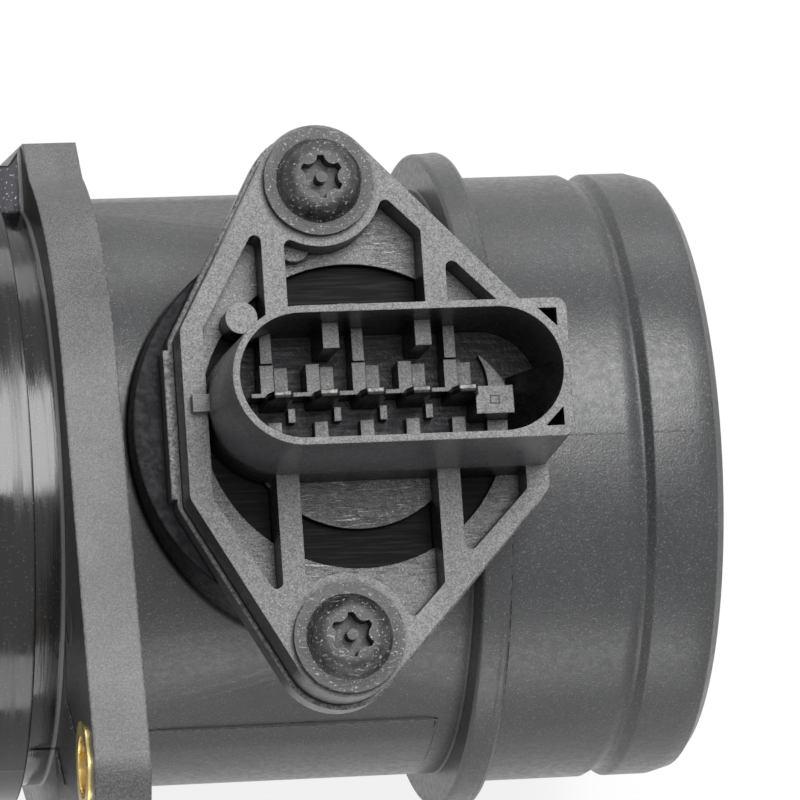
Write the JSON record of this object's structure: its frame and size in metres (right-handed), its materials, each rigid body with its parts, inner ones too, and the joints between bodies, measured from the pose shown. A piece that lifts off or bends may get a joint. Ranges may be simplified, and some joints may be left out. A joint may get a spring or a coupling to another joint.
{
  "type": "mass airflow sensor",
  "caption": "Mass airflow sensor: plug-in measuring unit with a blade in the duct and a connector socket, screwed to a plastic intake duct with flange and hose spigot.",
  "frame": {"origin": "on the duct's axis, in the plane of the mounting flange's inlet face", "axes": "+X along the duct towards the engine (flow direction), +Z from the duct's axis towards the plug-in unit and its connector, Y across"},
  "size_m": [0.0959, 0.0882, 0.1071],
  "materials": {
    "duct_plastic": "matte, glass filled, speckled",
    "sensor_plastic": "matte, glass filled, speckled",
    "brass": "turned, dull",
    "black_steel": "black coated, worn",
    "tinned_metal": "tin plated",
    "seal_rubber": "matte",
    "aluminium_sheet": "rolled",
    "board_ceramic": "matte",
    "chip_plastic": "matte",
    "sensor_film": "polished",
    "steel_wire": "drawn"
  },
  "bodies": {
    "root": {"air_temperature_probe": "steel_wire", "bypass_cover": "sensor_plastic", "carrier_plate": "aluminium_sheet", "circuit_board": "board_ceramic", "control_chip": "chip_plastic", "duct_housing": "duct_plastic", "electronics_cover": "sensor_plastic", "flow_grid": "duct_plastic", "front_flange_bush": "brass", "front_screw": "black_steel", "grid_retaining_ring": "duct_plastic", "inlet_seal_ring": "seal_rubber", "measuring_element": "sensor_film", "plug_seal_ring": "seal_rubber", "rear_flange_bush": "brass", "rear_screw": "black_steel", "sensor_housing": "sensor_plastic", "terminal_1": "tinned_metal", "terminal_2": "tinned_metal", "terminal_3": "tinned_metal", "terminal_4": "tinned_metal", "terminal_5": "tinned_metal", "wire_screen": "steel_wire"}
  },
  "joints": []
}
